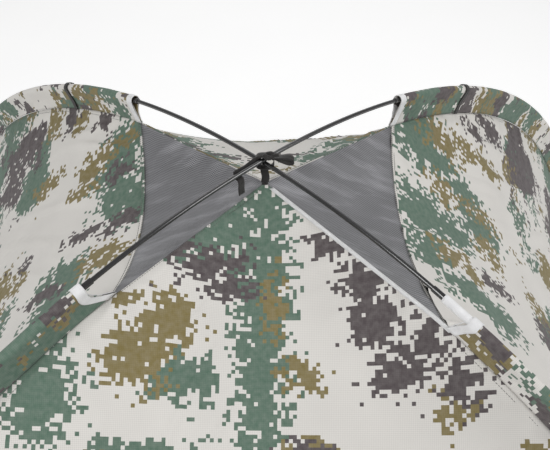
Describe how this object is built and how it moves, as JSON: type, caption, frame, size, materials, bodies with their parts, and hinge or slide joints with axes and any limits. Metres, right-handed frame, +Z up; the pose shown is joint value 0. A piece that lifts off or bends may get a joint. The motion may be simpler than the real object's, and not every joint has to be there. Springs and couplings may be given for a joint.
{
  "type": "pop up ground blind",
  "caption": "Camouflage dome shelter on crossed flexible poles in sleeves, with mesh roof vents, a zipped two-flap door and a tray groundsheet.",
  "frame": {"origin": "centre of the groundsheet's underside, on the ground", "axes": "+Z up, -Y out through the door, +X to the right of someone who faces the door from outside"},
  "size_m": [2.0102, 2.0102, 1.3107],
  "materials": {
    "camo_cloth": "matte",
    "mesh": "matte",
    "white_tape": "matte",
    "black_tape": "matte",
    "groundsheet": "satin",
    "zip_tape": "matte",
    "pole": "gloss",
    "shock_cord": "matte",
    "steel": "satin"
  },
  "bodies": {
    "tent": {"pole_a_section_1": "pole", "pole_a_section_2": "pole", "pole_a_section_3": "pole", "pole_a_section_4": "pole", "pole_a_section_5": "pole", "pole_a_section_6": "pole", "pole_a_section_7": "pole", "shock_cord_a": "shock_cord", "pole_b_section_1": "pole", "pole_b_section_2": "pole", "pole_b_section_3": "pole", "pole_b_section_4": "pole", "pole_b_section_5": "pole", "pole_b_section_6": "pole", "pole_b_section_7": "pole", "shock_cord_b": "shock_cord", "sleeve_front_left": "camo_cloth", "mouth_tape_front_left": "white_tape", "fly_loop_front_left": "black_tape", "corner_pin_front_left": "steel", "corner_ring_front_left": "steel", "corner_tab_front_left": "black_tape", "sleeve_front_right": "camo_cloth", "mouth_tape_front_right": "white_tape", "fly_loop_front_right": "black_tape", "corner_pin_front_right": "steel", "corner_ring_front_right": "steel", "corner_tab_front_right": "black_tape", "sleeve_back_left": "camo_cloth", "mouth_tape_back_left": "white_tape", "fly_loop_back_left": "black_tape", "corner_pin_back_left": "steel", "corner_ring_back_left": "steel", "corner_tab_back_left": "black_tape", "sleeve_back_right": "camo_cloth", "mouth_tape_back_right": "white_tape", "fly_loop_back_right": "black_tape", "corner_pin_back_right": "steel", "corner_ring_back_right": "steel", "corner_tab_back_right": "black_tape", "sleeve_collar_front_right": "white_tape", "wall_front": "camo_cloth", "wall_back": "camo_cloth", "wall_left": "camo_cloth", "wall_right": "camo_cloth", "roof_mesh_left": "mesh", "roof_mesh_right": "mesh", "groundsheet": "groundsheet", "apex_tie": "black_tape", "zip_tape_sill": "zip_tape"},
    "door_flap_left": {"door_flap_left": "camo_cloth", "zip_tape_left": "zip_tape"},
    "door_flap_right": {"door_flap_right": "camo_cloth", "zip_tape_right": "zip_tape"},
    "zip_slider_centre": {"zip_slider_centre": "steel"},
    "pull_tab_centre": {"pull_tab_centre": "steel"},
    "zip_slider_left": {"zip_slider_left": "steel"},
    "pull_tab_left": {"pull_tab_left": "steel"},
    "zip_slider_right": {"zip_slider_right": "steel"},
    "pull_tab_right": {"pull_tab_right": "steel"}
  },
  "joints": [
    {"name": "door_fold_left", "type": "hinge", "parent": "tent", "child": "door_flap_left", "pos_m": [-0.21, -0.8118, 0.41302], "axis": [-0.5311, -0.35, -0.7716], "range_deg": [0, 150]},
    {"name": "door_fold_right", "type": "hinge", "parent": "tent", "child": "door_flap_right", "pos_m": [0.21, -0.8118, 0.41302], "axis": [-0.5311, 0.35, 0.7716], "range_deg": [0, 150]},
    {"name": "zip_centre_slide", "type": "slide", "parent": "tent", "child": "zip_slider_centre", "axis": [0, 0.4131, 0.9107], "range_m": [0, 0.62]},
    {"name": "zip_left_slide", "type": "slide", "parent": "tent", "child": "zip_slider_left", "axis": [-1, 0, 0], "range_m": [0, 0.36]},
    {"name": "zip_right_slide", "type": "slide", "parent": "tent", "child": "zip_slider_right", "axis": [1, 0, 0], "range_m": [0, 0.36]},
    {"name": "pull_tab_centre_swing", "type": "hinge", "parent": "zip_slider_centre", "child": "pull_tab_centre", "pos_m": [0, -0.94493, 0.12971], "axis": [-1, 0, 0], "range_deg": [0, 150]},
    {"name": "pull_tab_left_swing", "type": "hinge", "parent": "zip_slider_left", "child": "pull_tab_left", "pos_m": [-0.015, -0.95401, 0.10967], "axis": [-1, 0, 0], "range_deg": [0, 150]},
    {"name": "pull_tab_right_swing", "type": "hinge", "parent": "zip_slider_right", "child": "pull_tab_right", "pos_m": [0.015, -0.95401, 0.10967], "axis": [-1, 0, 0], "range_deg": [0, 150]}
  ]
}
